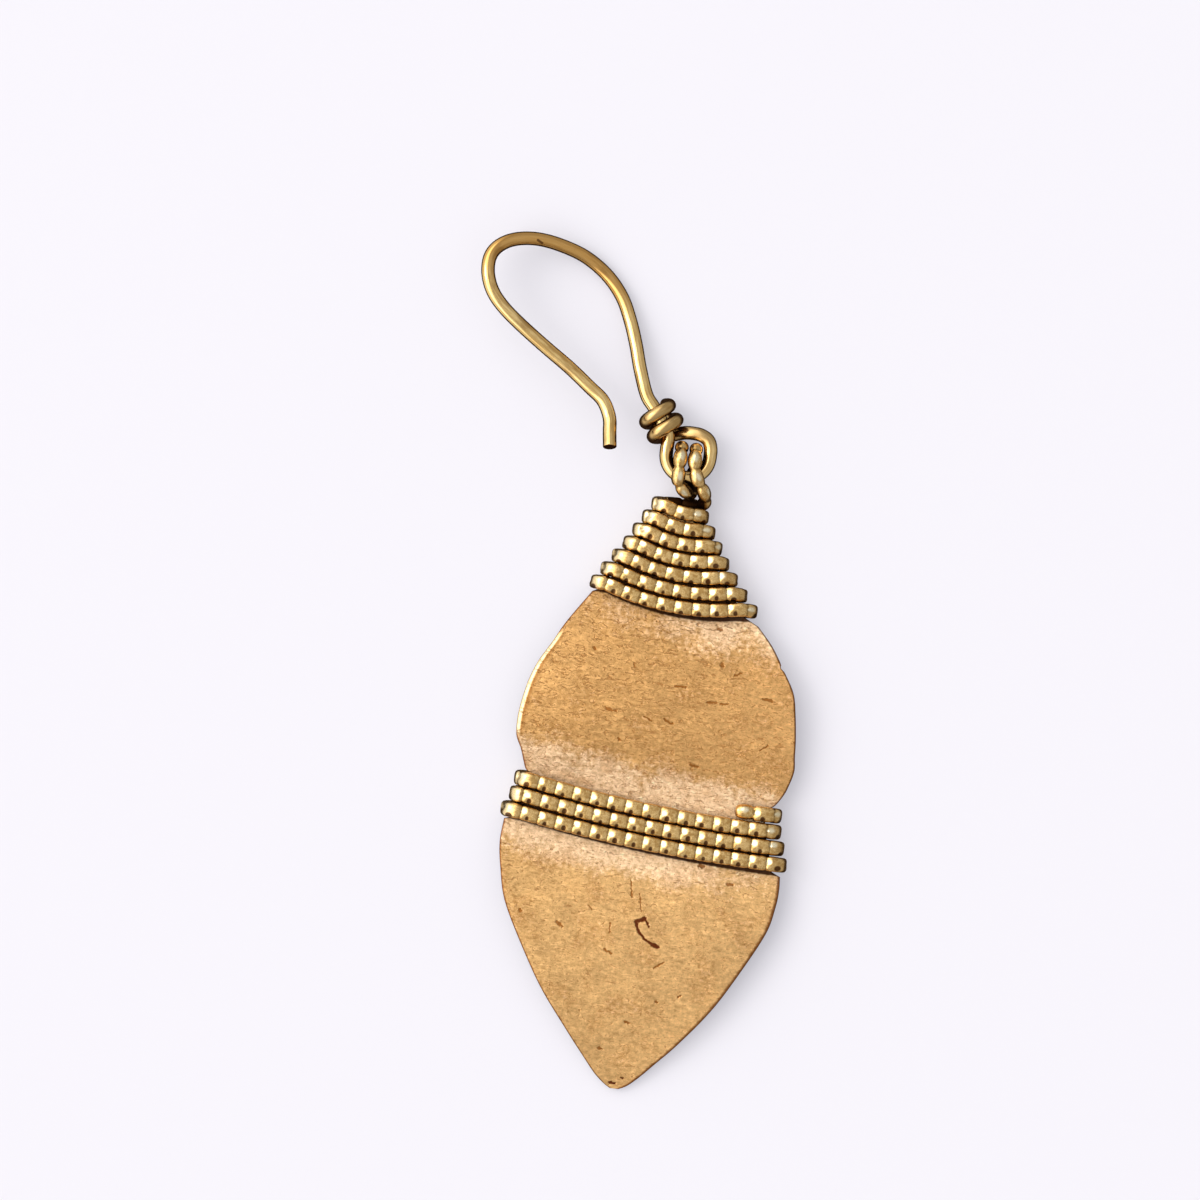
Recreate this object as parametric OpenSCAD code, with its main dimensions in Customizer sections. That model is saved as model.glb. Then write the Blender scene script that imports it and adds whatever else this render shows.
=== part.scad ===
// Leaf earring: a hand-cut leaf of thin sheet, bound at its neck and waist with
// beaded wire, that hangs by two wire loops from a hook of plain round wire.
// It lies face up. X runs across the leaf, Y from its tip to the hook, Z up.

/* [Leaf] */
// Length of the leaf from the top of its neck to its tip
leaf_l = 43.5; // [43.3:0.1:44.5]
// Width of the leaf at the widest place of its lower lobe
leaf_w = 21.3; // [20.8:0.1:22]
// Thickness of the sheet
sheet_t = 0.4; // [0.3:0.05:0.4]
// Rise of the two lobes above the bound neck and waist
lobe_rise = 0.8; // [0:0.1:1.2]
// Share of that rise that is missing at the long edges
edge_fall = 0.4; // [0:0.1:1]

/* [Beaded wire] */
// Diameter over the beads
bead_d = 1.02; // [0.9:0.01:1.02]
// Diameter in the grooves between two beads
groove_d = 0.86; // [0.7:0.02:0.9]
// Length of one bead along the wire
bead_l = 1.34; // [1.2:0.02:1.5]
// Gap between the wire and the sheet or its next turn
wire_gap = 0.05; // [0.03:0.01:0.06]

/* [Neck binding] */
// Number of rows on the face of the neck
neck_rows = 7; // [5:1:7]
// Distance from one row to the next
neck_pitch = 1.07; // [1.06:0.01:1.07]
// Bow of a row towards the tip, as a share of its length
neck_bow = 0.07; // [0:0.002:0.07]

/* [Waist binding] */
// Number of rows on the face of the waist, with the short one
waist_rows = 4; // [3:1:4]
// Distance from one row to the next
waist_pitch = 1.2; // [1.15:0.01:1.22]
// Bow of a row towards the tip
waist_bow = 0.38; // [0:0.02:0.6]
// Place across the leaf of the cut end on the face
waist_cut_x = 6.4; // [0:0.1:8]

/* [Ear hook] */
// Diameter of the plain wire
hook_d = 1.02; // [0.8:0.01:1.02]
// Turns of the wire round its own shank
coil_turns = 2; // [1:1:2]
// Distance from one of these turns to the next
coil_pitch = 1.21; // [1.15:0.01:1.25]
// Radius of the eye at the wire's centre
eye_r = 1.645; // [1.63:0.005:1.66]

/* [Hidden] */

UP = [0, 0, 1];
// Clearance of the bindings over the surface that the earring lies on
floor_gap = 0.02;
// Height of the sheet's middle where the wire binds it
bound_z = floor_gap + bead_d + wire_gap + sheet_t / 2;
// Height of the wire's centre over and under that middle
wrap_lift = sheet_t / 2 + wire_gap + bead_d / 2;
// How far the wire's centre swings out past the edge of the sheet
wrap_reach = 0.76;
// Half the wrapped wire's full width past the sheet
wrap_side = wrap_reach + bead_d / 2;

// Columns of the four stretches of the outline. A row is one section across the
// leaf: how far down it meets the left edge, the half-width there, the same on
// the right, and its share of the rise
LEFT_DOWN = 0;
LEFT_HALF = 1;
RIGHT_DOWN = 2;
RIGHT_HALF = 3;
SHARE = 4;
neck_outline = [
    [-0.5, 1.25, 0, 0.4, 0],
    [2.9, 3.2, 3.55, 2.55, 0],
    [6.4, 5.45, 7.35, 5.5, 0]];
upper_lobe = [
    [6.75, 6.15, 7.85, 6.5, 0.02],
    [9.2, 7.75, 9.25, 7.75, 0.45],
    [10.9, 8.65, 10.9, 8.8, 0.75],
    [12.45, 9.5, 12.45, 9.7, 0.92],
    [14, 10.05, 14, 10.05, 1],
    [15.8, 10.4, 15.8, 10.3, 0.97],
    [17.1, 10.5, 17.1, 10.4, 0.85],
    [18.15, 10.4, 18.2, 10.5, 0.65],
    [19.1, 9.95, 19.3, 10.25, 0.4],
    [19.95, 9.65, 20.1, 9.95, 0.18],
    [20.55, 9.4, 20.95, 9.4, 0.05],
    [21, 8.9, 21.4, 8.75, 0]];
waist_outline = [
    [22.4, 9.15, 22.95, 8.9, 0],
    [23.6, 9.65, 24.2, 9.3, 0],
    [24.15, 9.75, 25.9, 9.8, 0]];
lower_lobe = [
    [24.4, 10.55, 26.2, 10.45, 0.02],
    [26.2, 10.65, 27.2, 10.5, 0.3],
    [28.1, 10.35, 28.4, 10.4, 0.6],
    [30.4, 9.75, 30.4, 9.95, 0.85],
    [33.2, 8.3, 33.2, 8.6, 0.8],
    [36.5, 6.3, 36.5, 6.75, 0.4],
    [39.4, 4.05, 39.4, 4.6, -0.15],
    [41.3, 2.5, 41.3, 2.93, -0.6],
    [42.5, 1.48, 42.5, 1.84, -0.9],
    [43.2, 0.68, 43.2, 1.08, -1.1],
    [43.5, 0.2, 43.5, 0.5, -1.15]];
// These tables are for a leaf of this length and width
outline_l = 43.5;
outline_w = 21.3;
long_k = leaf_l / outline_l;
wide_k = leaf_w / outline_w;
// Share of the rise over which the bow across the leaf dies out as it dips
bow_fade = 0.2;
// Spans of the surface across the leaf, and for each row of a table
across_n = 12;
down_n = 2;

// Where the first neck row starts on the left and ends on the right
neck_left = -0.45;
neck_right = 0.4;
// Where the first whole waist row starts on the left and ends on the right
waist_left = 21.2 * long_k;
waist_right = 22.95 * long_k;
// Places across the leaf of the cut ends on the back
neck_cut_x = 0.5;
waist_back_cut_x = 4;
// A row's points, as shares of its length from one edge of the sheet to the other
row_from = 0.06;
row_step = 0.08;
// Angle from one point to the next round an edge, and round the bail and the eye
edge_step = 22.5;
loop_step = 12;

// Middle and half axes of the bail's loops along the leaf and in height
bail_y = 3.01;
bail_ry = 1.71;
bail_z = 1.65;
bail_rz = 1.12;
// Places across the leaf of the left and the right loop
bail_left_x = -0.87;
bail_right_x = 0.21;
// Angles at which the strand starts, crosses to the right loop and leaves it
bail_start = -126;
bail_cross = [110, 190];
bail_end = 440;
// Route of the strand from the right loop round the side of the neck
bail_leg = [
    [0.52, 2.5, 2.72],
    [1.05, 1.78, 2.42],
    [1.34, 1.18, 1.84],
    [1.34, 0.82, 1.19],
    [0.97, 0.61, 0.71],
    [0.3, 0.54, 0.53]];

// Route of the hook from its free end round the bend and down to the eye
hook_route = [
    [-6.21, 4.03, 3.45],
    [-6.36, 5.12, 3.02],
    [-6.51, 6.21, 2.59],
    [-7.14, 7.4, 2.42],
    [-8.22, 8.24, 2.42],
    [-9.88, 9.48, 2.55],
    [-11.92, 10.82, 2.75],
    [-13.88, 12.17, 2.98],
    [-15.33, 13.31, 3.18],
    [-16.29, 14.42, 3.3],
    [-16.8, 15.74, 3.22],
    [-16.78, 17, 2.95],
    [-16.19, 17.9, 2.6],
    [-15.08, 18.53, 2.15],
    [-13.47, 18.78, 1.65],
    [-11.64, 18.56, 1.15],
    [-9.76, 17.97, 0.75],
    [-8.03, 16.85, 0.54],
    [-6.71, 15.36, 0.56],
    [-5.86, 13.64, 0.75],
    [-5.22, 11.9, 1.02],
    [-4.71, 10.21, 1.28],
    [-3.97, 8.26, 1.52],
    [-3.3, 7.42, 1.58],
    [-2.64, 6.48, 1.59],
    [-2.24, 5.92, 1.59],
    [-1.95, 5.32, 1.6],
    [-1.97, 4.7, 1.64]];
hook_n = 4;
// Middle of the round eye, and the angle at which its round stretch starts
eye_at = [-0.33, 4.15, 1.65];
eye_start = 182;
// Route from the eye over its top and in behind the shank
eye_route = [
    [1.31, 4.85, 1.65],
    [1.08, 5.5, 1.64],
    [0.45, 5.83, 1.59],
    [-0.3, 5.88, 1.45],
    [-0.85, 5.84, 1.11]];
// The coil round the shank: its middle, its direction and the radius of the turn
coil_at = [-2.29, 5.99, 1.59];
coil_dir = [-0.576, 0.818, 0];
coil_side = [0.818, 0.576, 0];
coil_gap = 0.06;
coil_r = hook_d + coil_gap;
// How much more the turns climb behind the shank than before it, from 0 to 1
coil_sway = 0.8;
// Angle at which the coil starts, how far it runs past its whole turns, its
// middle angle, and the angle from one point to the next
coil_start = 50;
coil_tail = 40;
coil_mid = 270;
coil_step = 22.5;
// The straight free end, with the sides of its rod, and how much thinner the
// faceted wire is that leaves it
free_l = 2.2;
rod_fn = 48;
rod_inset = 0.004;

// Sides of the round wires, and distance of the rings along the plain one
bead_sides = 10;
hook_sides = 12;
hook_ring = 0.62;

// A smooth curve through four rows, at share f of the middle span
function between(a, b, c, d, f) =
    (2 * b + (c - a) * f + (2 * a - 5 * b + 4 * c - d) * f * f
    + (3 * b - a - 3 * c + d) * f * f * f) / 2;

// The same curve through a whole table, with n steps for each row
function smooth(rows, n) = [
    for (i = [0 : len(rows) - 2], k = [0 : n - 1])
        between(rows[max(i - 1, 0)], rows[i], rows[i + 1], rows[min(i + 2, len(rows) - 1)], k / n),
    rows[len(rows) - 1]];

// Length along a line up to each of its points
function run(p) = [
    for (i = 0, s = 0; i < len(p); s = s + (i + 1 < len(p) ? norm(p[i + 1] - p[i]) : 0), i = i + 1) s];

// Points at even steps of about the given length along a line
function even(p, step) =
    let (s = run(p), whole = s[len(s) - 1], n = round(whole / step))
    [for (k = [0 : n]) [
        for (axis = [0 : 2])
            lookup(whole * k / n, [for (i = [0 : len(p) - 1]) [s[i], p[i][axis]]])]];

function unit(v) = v / norm(v);
function square_to(v, t) = unit(v - (v * t) * t);

// Direction of a line at each point
function headings(p) = [
    for (i = [0 : len(p) - 1]) unit(p[min(i + 1, len(p) - 1)] - p[max(i - 1, 0)])];

// A side vector carried along the line without twist
function sides_of(t, first) = [
    for (i = 0, v = square_to(first, t[0]); i < len(t);
        v = i + 1 < len(t) ? square_to(v, t[i + 1]) : v, i = i + 1) v];

// A closed tube along the points p with one radius for each of them
module tube(p, radii, sides) {
    t = headings(p);
    u = sides_of(t, UP);
    n = len(p);
    points = [
        for (i = [0 : n - 1], k = [0 : sides - 1])
            p[i] + radii[i] * (cos(360 * k / sides) * u[i] + sin(360 * k / sides) * cross(t[i], u[i]))];
    walls = [
        for (i = [0 : n - 2], k = [0 : sides - 1])
            let (a = i * sides + k, b = i * sides + (k + 1) % sides)
            for (face = [[a, a + sides, b], [b, a + sides, b + sides]]) face];
    start = [for (k = [0 : sides - 1]) k];
    end = [for (k = [sides - 1 : -1 : 0]) (n - 1) * sides + k];
    polyhedron(points = points, faces = concat([start], walls, [end]), convexity = 10);
}

// Radius of each ring of a beaded wire: a groove first, then the middle of a bead
function ring_r(i) = (i % 2 == 1 ? bead_d : groove_d) / 2;

module beaded(p) {
    tube(p, [for (i = [0 : len(p) - 1]) ring_r(i)], bead_sides);
}

function to_size(rows) = [
    for (r = rows) [
        r[LEFT_DOWN] * long_k, r[LEFT_HALF] * wide_k,
        r[RIGHT_DOWN] * long_k, r[RIGHT_HALF] * wide_k, r[SHARE]]];

// Each stretch is smooth, and the leaf has a corner where one meets the next
sections = [
    for (rows = [neck_outline, upper_lobe, waist_outline, lower_lobe])
        for (r = smooth(to_size(rows), down_n)) r];

// Half-width of the leaf on its left (side -1) or its right (side 1)
function half_at(side, down) =
    let (c = side < 0 ? LEFT_DOWN : RIGHT_DOWN)
    lookup(down, [for (r = sections) [r[c], r[c + 1]]]);

// A point in the middle of the sheet: a section's row, and -1 to 1 across it
function sheet_point(r, u) =
    let (left = [-r[LEFT_HALF], -r[LEFT_DOWN]], right = [r[RIGHT_HALF], -r[RIGHT_DOWN]])
    let (at = left + (right - left) * (u + 1) / 2)
    let (bow = edge_fall * (r[SHARE] + norm([r[SHARE], bow_fade]) - bow_fade) / 2)
    [at[0], at[1], bound_z + lobe_rise * (r[SHARE] - bow * u * u)];

// The turn round an edge. It starts on the face, or for -1 on the back, and
// moves down the leaf by slip while it is near the face
function edge_turn(side, down, from_face, slip) = [
    for (a = [0 : edge_step : 180])
        let (at = down - side * slip * (1 + from_face * cos(a)) / 2)
        [side * (half_at(side, at) + wrap_reach * sin(a)),
         -at,
         bound_z + from_face * wrap_lift * cos(a)]];

// A row between two edge turns, on the face (1) or the back (-1), which bows
// towards the tip
function wire_row(x0, down0, x1, down1, face, bow) = [
    for (f = [row_from : row_step : 1 - row_from])
        [x0 + (x1 - x0) * f,
         -(down0 + (down1 - down0) * f + bow * 4 * f * (1 - f)),
         bound_z + face * wrap_lift]];

// A face row with its two edge turns: the left end lies at down0, the right at
// down1, and the slant runs on into the turns
function face_row(down0, down1, bow) =
    let (w0 = half_at(-1, down0), w1 = half_at(1, down1))
    let (slip = (down1 - down0) * wrap_side / (w0 + w1 + 2 * wrap_side))
    concat(
        edge_turn(-1, down0, -1, slip),
        wire_row(
            -half_at(-1, down0 + slip), down0 + slip,
            half_at(1, down1 - slip), down1 - slip, 1, bow),
        edge_turn(1, down1, 1, slip));

function back_row(down0, down1, bow) =
    wire_row(half_at(1, down0), down0, -half_at(-1, down1), down1, -1, bow);

function bow_at(down0, down1) = neck_bow * (half_at(-1, down0) + half_at(1, down1));

function ease(f) = let (g = min(max(f, 0), 1)) g * g * (3 - 2 * g);

// The two loops of the bail and the leg that leads to the neck
bail_line = concat(
    [for (a = [bail_start : loop_step : bail_end])
        let (f = ease((a - bail_cross[0]) / (bail_cross[1] - bail_cross[0])))
        [bail_left_x + (bail_right_x - bail_left_x) * f,
         bail_y + bail_ry * cos(a),
         bail_z + bail_rz * sin(a)]],
    bail_leg);

neck_line = concat(bail_line, [
    for (i = [0 : neck_rows - 1])
        let (down0 = neck_left + i * neck_pitch, down1 = neck_right + i * neck_pitch)
        let (bow = bow_at(down0, down1))
        for (p = concat(
            i > 0 ? back_row(down1 - neck_pitch, down0, bow) : [],
            face_row(down0, down1, bow))) p], [
    for (p = back_row(
        neck_right + (neck_rows - 1) * neck_pitch, neck_left + neck_rows * neck_pitch,
        bow_at(neck_left + (neck_rows - 1) * neck_pitch, neck_right + (neck_rows - 1) * neck_pitch)))
        if (p[0] > neck_cut_x) p]);

waist_line = concat([
    for (p = face_row(waist_left - waist_pitch, waist_right - waist_pitch, waist_bow))
        if (p[0] > waist_cut_x) p], [
    for (i = [0 : waist_rows - 2])
        let (down0 = waist_left + i * waist_pitch, down1 = waist_right + i * waist_pitch)
        for (p = concat(
            back_row(down1 - waist_pitch, down0, waist_bow),
            face_row(down0, down1, waist_bow))) p], [
    for (p = back_row(
        waist_right + (waist_rows - 2) * waist_pitch, waist_left + (waist_rows - 1) * waist_pitch,
        waist_bow))
        if (p[0] > waist_back_cut_x) p]);

// The turns round the shank. They climb slowly before it and fast behind it
function coil_point(a) =
    let (turned = a - coil_mid + coil_sway * (180 / PI) * sin(a - 90))
    coil_at + coil_dir * coil_pitch * turned / 360
    + coil_r * (coil_side * cos(a) - UP * sin(a));

hook_line = concat(
    smooth(hook_route, hook_n),
    [for (a = [eye_start : loop_step : 360]) eye_at + eye_r * [cos(a), sin(a), 0]],
    eye_route,
    [for (a = [coil_start : coil_step : 360 * coil_turns + coil_tail]) coil_point(a)]);

// Centres of the rings of each wire
neck_rings = even(neck_line, bead_l / 2);
waist_rings = even(waist_line, bead_l / 2);
hook_rings = even(hook_line, hook_ring);

// Middle of the whole earring, at the height of its lowest point
low_x = min([for (p = hook_rings) p[0]]) - hook_d / 2;
high_x = max([for (i = [0 : len(waist_rings) - 1]) waist_rings[i][0] + ring_r(i)]);
low_y = -max([for (r = sections) max(r[LEFT_DOWN], r[RIGHT_DOWN])]);
high_y = max([for (p = hook_rings) p[1]]) + hook_d / 2;
low_z = min([for (p = hook_rings) p[2]]) - hook_d / 2;
middle = [(low_x + high_x) / 2, (low_y + high_y) / 2, low_z];

module leaf() {
    rows = len(sections);
    cols = across_n + 1;
    sheet = [for (r = sections, k = [0 : across_n]) sheet_point(r, 2 * k / across_n - 1) - middle];
    points = concat([for (p = sheet) p + UP * sheet_t / 2], [for (p = sheet) p - UP * sheet_t / 2]);
    under = rows * cols;
    // Corners of one square of the surface, and of the rim all the way round
    squares = [
        for (i = [0 : rows - 2], k = [0 : cols - 2])
            [i * cols + k, i * cols + k + 1, (i + 1) * cols + k + 1, (i + 1) * cols + k]];
    rim = concat(
        [for (k = [0 : cols - 1]) k],
        [for (i = [1 : rows - 1]) i * cols + cols - 1],
        [for (k = [cols - 2 : -1 : 0]) (rows - 1) * cols + k],
        [for (i = [rows - 2 : -1 : 1]) i * cols]);
    top = [for (q = squares, face = [[q[0], q[1], q[2]], [q[0], q[2], q[3]]]) face];
    bottom = [for (f = top) [f[0] + under, f[2] + under, f[1] + under]];
    wall = [
        for (i = [0 : len(rim) - 1])
            let (a = rim[i], b = rim[(i + 1) % len(rim)])
            for (face = [[a, a + under, b], [b, a + under, b + under]]) face];
    color([0.83, 0.62, 0.40])
        polyhedron(points = points, faces = concat(top, bottom, wall), convexity = 6);
}

module neck_winding() {
    color([0.74, 0.62, 0.30])
        translate(-middle) beaded(neck_rings);
}

module waist_winding() {
    color([0.76, 0.64, 0.32])
        translate(-middle) beaded(waist_rings);
}

module ear_hook() {
    // The free end is a true round rod along the first stretch of the route
    tip = hook_route[0];
    dir = unit(hook_route[1] - tip);
    lean = acos(dir[2]);
    turn = atan2(dir[1], dir[0]);
    p = [for (q = hook_rings) if (norm(q - tip) > free_l - hook_ring) q];
    color([0.78, 0.58, 0.24])
        translate(-middle) {
            translate(tip) rotate([0, lean, turn]) cylinder(h = free_l, d = hook_d, $fn = rod_fn);
            tube(p, [for (q = p) hook_d / 2 - rod_inset], hook_sides);
        }
}

leaf();
neck_winding();
waist_winding();
ear_hook();
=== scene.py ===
import math

import bpy
import numpy as np
from mathutils import Matrix, Vector


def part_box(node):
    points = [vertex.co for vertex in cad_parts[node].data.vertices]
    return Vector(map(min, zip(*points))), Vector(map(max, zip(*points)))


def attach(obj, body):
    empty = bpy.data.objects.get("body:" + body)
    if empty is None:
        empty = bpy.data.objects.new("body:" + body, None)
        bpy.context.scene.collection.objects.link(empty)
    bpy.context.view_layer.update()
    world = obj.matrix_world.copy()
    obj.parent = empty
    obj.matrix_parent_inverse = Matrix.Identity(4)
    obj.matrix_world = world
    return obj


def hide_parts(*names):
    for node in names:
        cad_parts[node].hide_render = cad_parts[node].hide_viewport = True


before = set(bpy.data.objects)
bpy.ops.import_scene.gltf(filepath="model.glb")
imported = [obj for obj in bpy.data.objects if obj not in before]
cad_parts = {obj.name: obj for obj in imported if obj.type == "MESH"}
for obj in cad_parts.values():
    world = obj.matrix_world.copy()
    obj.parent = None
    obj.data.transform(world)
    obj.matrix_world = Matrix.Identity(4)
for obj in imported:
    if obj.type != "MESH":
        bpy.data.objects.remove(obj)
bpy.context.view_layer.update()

# The leaf. It is one piece of thin sheet brass, cut out by hand with shears, bowed a little in
# each lobe and rubbed to a satin. Its neck and its waist, where the wire grips it, are flat.
MM = 0.001
sheet_t = 0.4
bead_d = 1.02
wire_gap = 0.05
floor_gap = 0.02
bound_z = floor_gap + bead_d + wire_gap + sheet_t / 2
lobe_rise = 0.8
edge_fall = 0.4
bow_fade = 0.2
# One row for each section across the leaf, in millimetres from the top of the neck: how far
# down it meets the left edge, its half-width there, the same on the right, its share of the rise
neck_outline = np.array([
    [-0.5, 1.25, 0, 0.4, 0],
    [2.9, 3.2, 3.55, 2.55, 0],
    [6.4, 5.45, 7.35, 5.5, 0]])
upper_lobe = np.array([
    [6.75, 6.15, 7.85, 6.5, 0.02],
    [9.2, 7.75, 9.25, 7.75, 0.45],
    [10.9, 8.65, 10.9, 8.8, 0.75],
    [12.45, 9.5, 12.45, 9.7, 0.92],
    [14, 10.05, 14, 10.05, 1],
    [15.8, 10.4, 15.8, 10.3, 0.97],
    [17.1, 10.5, 17.1, 10.4, 0.85],
    [18.15, 10.4, 18.2, 10.5, 0.65],
    [19.1, 9.95, 19.3, 10.25, 0.4],
    [19.95, 9.65, 20.1, 9.95, 0.18],
    [20.55, 9.4, 20.95, 9.4, 0.05],
    [21, 8.9, 21.4, 8.75, 0]])
waist_outline = np.array([
    [22.4, 9.15, 22.95, 8.9, 0],
    [23.6, 9.65, 24.2, 9.3, 0],
    [24.15, 9.75, 25.9, 9.8, 0]])
lower_lobe = np.array([
    [24.4, 10.55, 26.2, 10.45, 0.02],
    [26.2, 10.65, 27.2, 10.5, 0.3],
    [28.1, 10.35, 28.4, 10.4, 0.6],
    [30.4, 9.75, 30.4, 9.95, 0.85],
    [33.2, 8.3, 33.2, 8.6, 0.8],
    [36.5, 6.3, 36.5, 6.75, 0.4],
    [39.4, 4.05, 39.4, 4.6, -0.15],
    [41.3, 2.5, 41.3, 2.93, -0.6],
    [42.5, 1.48, 42.5, 1.84, -0.9],
    [43.2, 0.68, 43.2, 1.08, -1.1],
    [43.5, 0.2, 43.5, 0.5, -1.15]])


def curve_through(rows, n):
    """A smooth curve through the rows, n points for each: between two rows, half the sum of twice
    the first, the chord of its neighbours times f, and the terms in f squared and f cubed that
    carry each row's slope, half the chord across it, over to the next row."""
    p = np.vstack([rows[:1], rows, rows[-1:]])
    a, b, c, d = (p[i:len(p) - 3 + i, None, :] for i in range(4))
    f = (np.arange(n) / n)[None, :, None]
    spans = (2 * b + (c - a) * f + (2 * a - 5 * b + 4 * c - d) * f ** 2
             + (3 * b - a - 3 * c + d) * f ** 3) / 2
    return np.vstack([spans.reshape(-1, rows.shape[1]), rows[-1:]])


def step_up(low, high, x):
    """0 below low, 1 above high, and between them three times the share squared less twice its cube."""
    f = np.clip((x - low) / (high - low), 0, 1)
    return f * f * (3 - 2 * f)


def mesh_of(name, rings, attributes):
    """A closed skin of quads from a grid of rings of points: each quad joins two neighbours on one
    ring to the same two on the next, the ring closes on itself, and strips of quads across the
    first and the last ring shut both ends."""
    rows, around = rings.shape[:2]
    i, k = np.meshgrid(np.arange(rows - 1), np.arange(around), indexing="ij")
    k_next = (k + 1) % around
    faces = np.stack([i * around + k, (i + 1) * around + k,
                      (i + 1) * around + k_next, i * around + k_next], -1).reshape(-1, 4)
    half = np.arange(around // 2 - 1)
    start = np.stack([half, half + 1, around - 2 - half, around - 1 - half], -1)
    end = start[:, ::-1] + (rows - 1) * around
    mesh = bpy.data.meshes.new(name)
    mesh.from_pydata(rings.reshape(-1, 3).tolist(), [], np.vstack([faces, start, end]).tolist())
    for label, values in attributes.items():
        kind, field = ("FLOAT_VECTOR", "vector") if values.ndim == 3 else ("FLOAT", "value")
        layer = mesh.attributes.new(label, kind, "POINT")
        layer.data.foreach_set(field, values.astype(np.float32).ravel())
    mesh.shade_smooth()
    piece = bpy.data.objects.new(name, mesh)
    bpy.context.scene.collection.objects.link(piece)
    return piece


# Each stretch is smooth, and the leaf has a corner where one meets the next
points_a_row = 12
stretches = (neck_outline, upper_lobe, waist_outline, lower_lobe)
sections = np.vstack([curve_through(rows, points_a_row) for rows in stretches])
left_down, left_half, right_down, right_half, share = (sections[:, i:i + 1] for i in range(5))


def half_at(side, down):
    """Half-width of the leaf on its left (side -1) or its right (side 1), read off the sections."""
    column = 0 if side < 0 else 2
    return np.interp(down, sections[:, column], sections[:, column + 1])


# The rows of points across the sheet lie close together at its rim and evenly between
rim_steps = np.array([0, 0.012, 0.035, 0.07, 0.12, 0.18, 0.25, 0.31, 0.35, 0.42])
across_n = 76
width = left_half + right_half
squeeze = np.minimum(1, width / (3 * rim_steps[-1]))
near = rim_steps * squeeze
inner = near[:, -1:] + (width - 2 * near[:, -1:]) * np.linspace(0, 1, across_n)[1:-1]
offset = np.hstack([near, inner, width - near[:, ::-1]])
f = offset / width
u = 2 * f - 1
x = -left_half + offset
down = left_down + (right_down - left_down) * f
from_rim = np.minimum(offset, width - offset)

# A nick in the right edge, and a bevel along the left edge of the upper lobe, which the material paints
# with a highlight
nick_down, nick_half, nick_depth, nick_reach = 10.7, 0.16, 0.16, 0.2
nick = np.exp(-((down - nick_down) / nick_half) ** 2) * np.exp(-(width - offset) / nick_reach)
x = x - nick_depth * nick
bevel_w, bevel_slope = 0.32, 0.44
along_bevel = step_up(9.6, 11, down) * step_up(18.4, 17.2, down) * (u < 0)
bevel = along_bevel * bevel_slope * np.maximum(0, bevel_w - offset)
# The unevenness of hand-rubbed sheet: three slow waves, which fade where the wire grips it
grip = step_up(6, 11, down) * (1 - step_up(18.5, 21, down) * step_up(28.5, 25.5, down))
waves = 0.022 * np.sin(0.9 * x + 0.35 * down + 0.6) * np.sin(0.7 * down + 1.1)
waves = waves + 0.012 * np.sin(1.9 * x - 1.3 * down + 2.2) + 0.010 * np.sin(0.8 * x + 2.3 * down)
# The bow across the leaf dies out where the tip dips below the bound sheet
cross_bow = edge_fall * (share + np.hypot(share, bow_fade) - bow_fade) / 2
middle_z = bound_z + lobe_rise * (share - cross_bow * u ** 2) + waves * grip

round_r = 0.12
reach = np.minimum(from_rim, round_r)
half_t = sheet_t / 2 - round_r + np.sqrt(round_r ** 2 - (round_r - reach) ** 2)
face = np.stack([x, -down, middle_z + half_t - bevel], -1)
back = np.stack([x, -down, middle_z - half_t], -1)[:, ::-1]
sheet = np.hstack([face, back])

# The frame's own leaf gives the place of the earring: its middle against the middle of this table
low, high = (np.array(corner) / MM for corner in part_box("leaf"))
middle = (sheet.min((0, 1)) + sheet.max((0, 1))) / 2 - (low + high) / 2


def at_home(points):
    """Points in millimetres from the top of the neck, moved by the frame's middle, in metres."""
    return (points - middle) * MM


# The rows of the two bindings: where the first one starts at the left edge and ends at the right,
# how many there are on the face, how far apart, and how much they bow towards the tip
neck_left, neck_right, neck_rows, neck_pitch, neck_bow = -0.45, 0.4, 7, 1.07, 0.07
waist_left, waist_right, waist_rows, waist_pitch, waist_bow = 21.2, 22.95, 4, 1.2, 0.38


def from_row(down0, down1, bow):
    """How far the sheet's points lie below the lower edge of a row: the row is a straight line from
    edge to edge, less four times the bow, the share of the way and the rest of it."""
    left, right = half_at(-1, down0), half_at(1, down1)
    f = np.clip((x + left) / (left + right), 0, 1)
    return down - (down0 + (down1 - down0) * f + 4 * bow * f * (1 - f)) - bead_d / 2


neck_down = np.array([neck_left, neck_right]) + (neck_rows - 1) * neck_pitch
below_neck = from_row(*neck_down, neck_bow * (half_at(-1, neck_down[0]) + half_at(1, neck_down[1])))
below_waist = from_row(waist_left + (waist_rows - 2) * waist_pitch,
                       waist_right + (waist_rows - 2) * waist_pitch, waist_bow)
above_waist = -bead_d - from_row(waist_left, waist_right, waist_bow)
# Painted sheen on the sheet: under the neck, more to the right, and on both sides of the waist
painted_sheen = step_up(4.2, 0.4, below_neck) * (0.35 + 0.65 * step_up(-2, 4, x)) * step_up(-1, 0, below_neck)
painted_sheen = painted_sheen + step_up(3.9, 1.3, above_waist) * step_up(-3, -1, above_waist)
painted_sheen = painted_sheen + step_up(3.6, 0.8, below_waist) * step_up(-2, 0, below_waist) * (1 - 0.55 * step_up(1, 7, x))


def both_sides(values):
    """The same value on the face and on the back of each row of points."""
    return np.hstack([values, values[:, ::-1]])


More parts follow.
